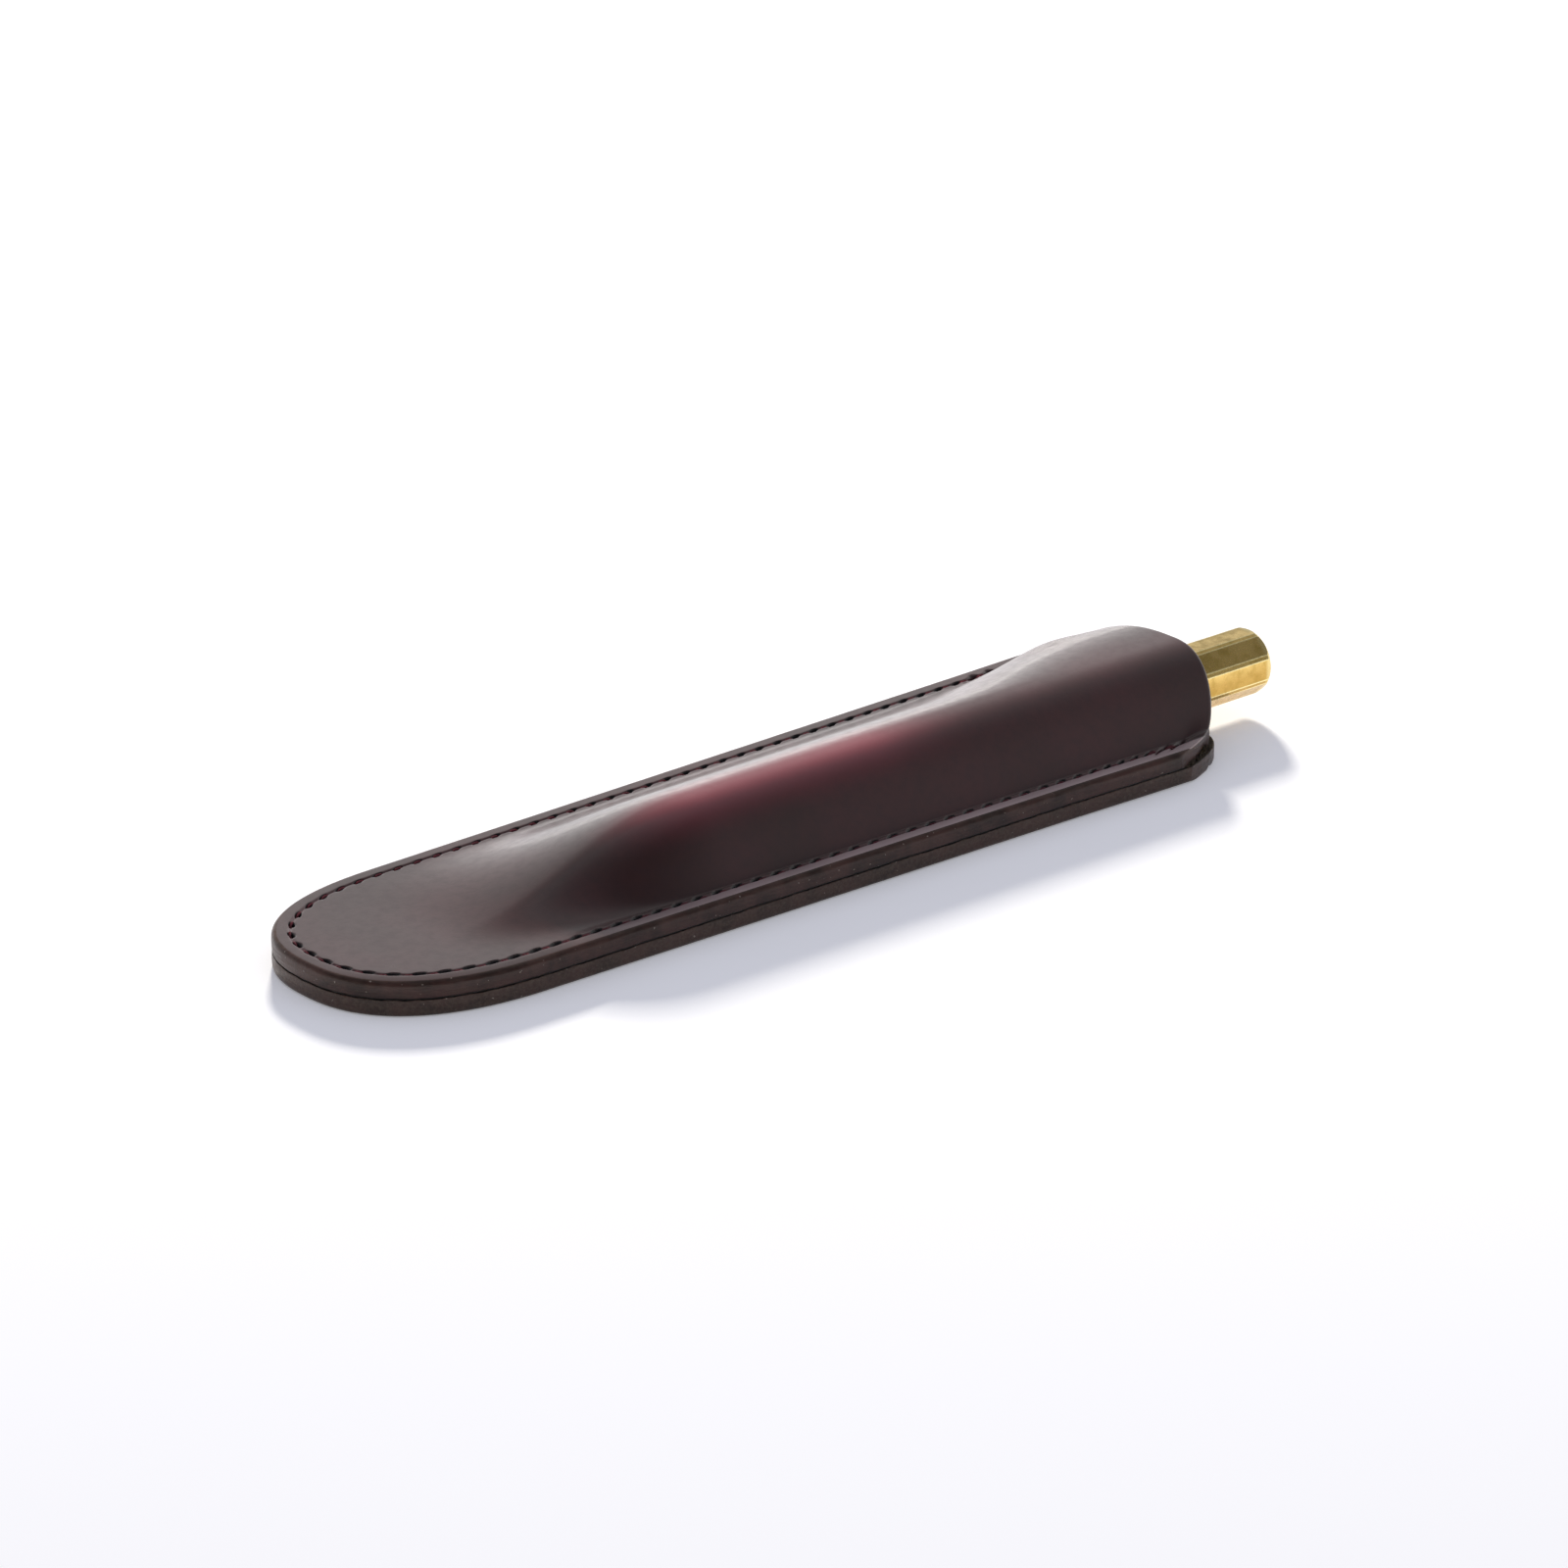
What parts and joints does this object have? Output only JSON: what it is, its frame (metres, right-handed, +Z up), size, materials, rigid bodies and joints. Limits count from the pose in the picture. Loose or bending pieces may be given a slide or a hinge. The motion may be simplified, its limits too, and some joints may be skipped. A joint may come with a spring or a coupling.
{
  "type": "pen sleeve",
  "caption": "Moulded leather pen sleeve, stitched round its sides and closed end, open at the mouth, holding an octagonal brass pen that draws out and uncaps.",
  "frame": {"origin": "middle of the flat back face that the sleeve lies on, half way between the closed end and the middle of the mouth", "axes": "+X from the closed end to the open mouth, along which the pen draws out; +Z up from the back face to the moulded front; -Y is the side that the pen leans to"},
  "size_m": [0.1734, 0.045, 0.0154],
  "materials": {
    "leather_front": "dark oxblood vegetable-tanned leather, wet moulded and polished",
    "leather_back": "dark brown vegetable-tanned leather with burnished edges",
    "cement": "dried contact cement, matt black line",
    "thread": "waxed bonded polyester thread, dark burgundy",
    "brass": "plain lacquer-free brass, fine satin with small handling marks",
    "dark_brass": "turned brass, slightly tarnished",
    "point_brass": "bright turned brass",
    "steel": "plain bright steel",
    "refill_plastic": "moulded grey plastic",
    "black_plastic": "moulded black plastic",
    "rubber": "soft black rubber",
    "ink": "blue ink paste"
  },
  "bodies": {
    "sleeve": {"back_panel": "leather_back", "cement_film": "cement", "front_panel": "leather_front", "needle_thread": "thread", "bobbin_thread": "thread", "backtack_near": "thread", "backtack_far": "thread"},
    "pen": {"barrel_shell": "brass", "refill_spring": "steel", "refill_plug": "refill_plastic", "refill_tube": "steel", "ink_fill": "ink", "refill_point": "point_brass", "refill_ball": "steel", "section_grip": "brass", "section_oring": "rubber", "centre_ring": "dark_brass"},
    "cap": {"cap_shell": "brass", "cap_liner": "black_plastic", "cap_pad": "rubber"}
  },
  "joints": [
    {"name": "pen_slide", "type": "slide", "parent": "sleeve", "child": "pen", "axis": [1, 0, 0], "range_m": [0, 0.115]},
    {"name": "cap_pull", "type": "slide", "parent": "pen", "child": "cap", "axis": [1, 0, 0], "range_m": [0, 0.055]}
  ]
}
